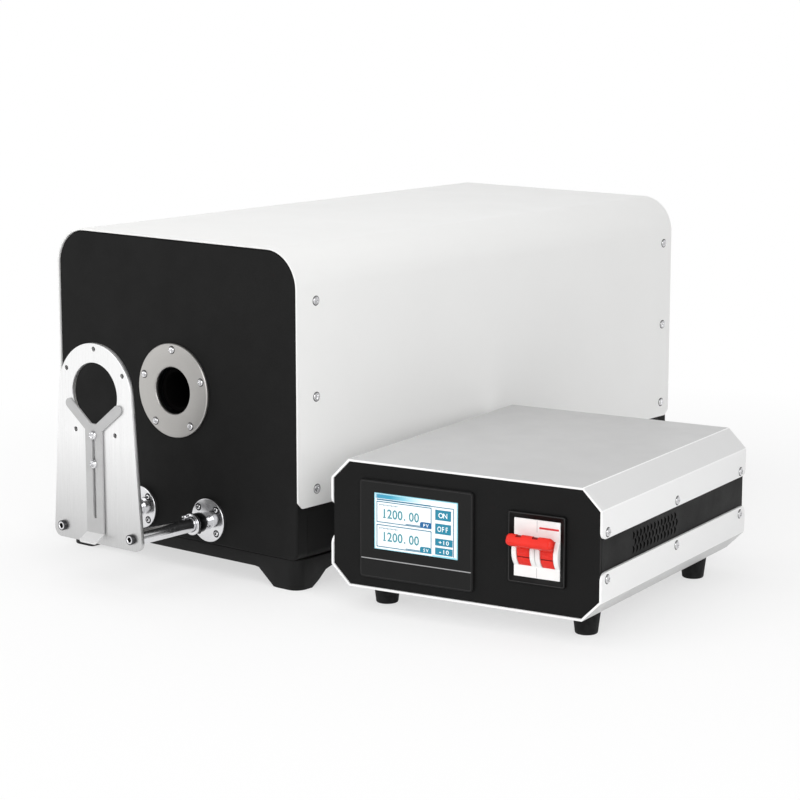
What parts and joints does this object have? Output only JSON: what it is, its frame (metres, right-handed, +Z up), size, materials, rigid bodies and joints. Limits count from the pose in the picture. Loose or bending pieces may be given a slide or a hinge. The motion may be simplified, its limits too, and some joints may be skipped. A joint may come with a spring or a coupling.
{
  "type": "thermocouple calibration furnace",
  "caption": "Horizontal tube furnace for calibrating thermocouples, with a sliding stand before its mouth and a separate touch-screen control unit.",
  "frame": {"origin": "centre of the footprint of the whole set, on the table under its feet", "axes": "+Y along the furnace bore from its mouth to the rear, +Z up, +X from the furnace towards the control unit"},
  "size_m": [0.7282, 0.8452, 0.365],
  "materials": {
    "cover_white_paint": "satin white powder coat",
    "body_black_paint": "fine textured black coat",
    "plinth_black": "matt black",
    "flange_brushed_steel": "fine satin",
    "tube_ceramic": "dark matt silicon carbide",
    "heater_ceramic": "matt ceramic",
    "fibre_insulation": "ceramic fibre board",
    "inner_steel": "sheet steel",
    "bushing_chrome": "polished",
    "collar_dark_steel": "black oxide with a bright end ring",
    "connector_alloy": "satin shell with a dark insert",
    "plate_brushed_steel": "vertical brushed grain",
    "rod_chrome": "polished",
    "bolt_chrome": "polished",
    "bracket_satin_steel": "bead blasted satin",
    "unit_top_paint": "satin light grey coat",
    "unit_lower_paint": "satin white powder coat",
    "unit_black_paint": "fine textured black coat",
    "foot_rubber": "matt rubber",
    "screen_plastic": "matt black",
    "screen_glass": "lit screen under a clear sheet",
    "breaker_frame_plastic": "glossy black",
    "breaker_white_plastic": "satin white",
    "toggle_red_plastic": "glossy red",
    "inner_aluminium": "mill finish",
    "inner_plastic": "matt black"
  },
  "bodies": {
    "root": {"outer_cover": "cover_white_paint", "front_panel": "body_black_paint", "rear_panel": "body_black_paint", "chassis_tray": "body_black_paint", "base_plinth": "plinth_black", "mouth_flange_front": "flange_brushed_steel", "mouth_flange_rear": "flange_brushed_steel", "furnace_tube": "tube_ceramic", "heater_core": "heater_ceramic", "insulation_upper": "fibre_insulation", "insulation_lower": "fibre_insulation", "inner_drum": "inner_steel", "drum_cap_front": "inner_steel", "drum_cap_rear": "inner_steel", "drum_cradle_front": "inner_steel", "drum_cradle_rear": "inner_steel", "control_thermocouple": "heater_ceramic", "guide_bushing_left": "bushing_chrome", "guide_bushing_right": "bushing_chrome", "lock_collar_left": "collar_dark_steel", "lock_collar_right": "collar_dark_steel", "heater_power_socket": "connector_alloy", "sensor_socket": "connector_alloy", "unit_top_shell": "unit_top_paint", "unit_bottom_shell": "unit_lower_paint", "unit_front_panel": "unit_black_paint", "unit_rear_panel": "unit_black_paint", "unit_side_strip_left": "unit_black_paint", "unit_side_strip_right": "unit_black_paint", "unit_foot_front_left": "foot_rubber", "unit_foot_front_right": "foot_rubber", "unit_foot_rear_left": "foot_rubber", "unit_foot_rear_right": "foot_rubber", "screen_bezel": "screen_plastic", "screen_display": "screen_glass", "screen_housing": "screen_plastic", "breaker_bezel": "breaker_frame_plastic", "breaker_body": "breaker_white_plastic", "unit_deck": "inner_aluminium", "heat_sink": "inner_aluminium", "solid_state_relay": "inner_plastic", "power_supply": "inner_aluminium", "terminal_strip": "inner_plastic", "unit_mains_socket": "connector_alloy", "unit_heater_socket": "connector_alloy", "unit_sensor_socket": "connector_alloy"},
    "stand_carriage": {"stand_plate": "plate_brushed_steel", "guide_rod_left": "rod_chrome", "guide_rod_right": "rod_chrome", "rod_bolt_left": "bolt_chrome", "rod_bolt_right": "bolt_chrome", "bracket_screw_upper": "bolt_chrome", "bracket_screw_lower": "bolt_chrome"},
    "v_rest": {"v_bracket": "bracket_satin_steel"},
    "toggle": {"breaker_toggle": "toggle_red_plastic", "toggle_hub_left": "toggle_red_plastic", "toggle_hub_right": "toggle_red_plastic"}
  },
  "joints": [
    {"name": "stand_slide", "type": "slide", "parent": "root", "child": "stand_carriage", "axis": [0, 1, 0], "range_m": [-0.12, 0.073]},
    {"name": "rest_slide", "type": "slide", "parent": "stand_carriage", "child": "v_rest", "axis": [0, 0, 1], "range_m": [0, 0.052]},
    {"name": "breaker_switch", "type": "hinge", "parent": "root", "child": "toggle", "pos_m": [0.29176, -0.2535, 0.0875], "axis": [0.9882, 0.153, 0], "range_deg": [0, 54]}
  ]
}
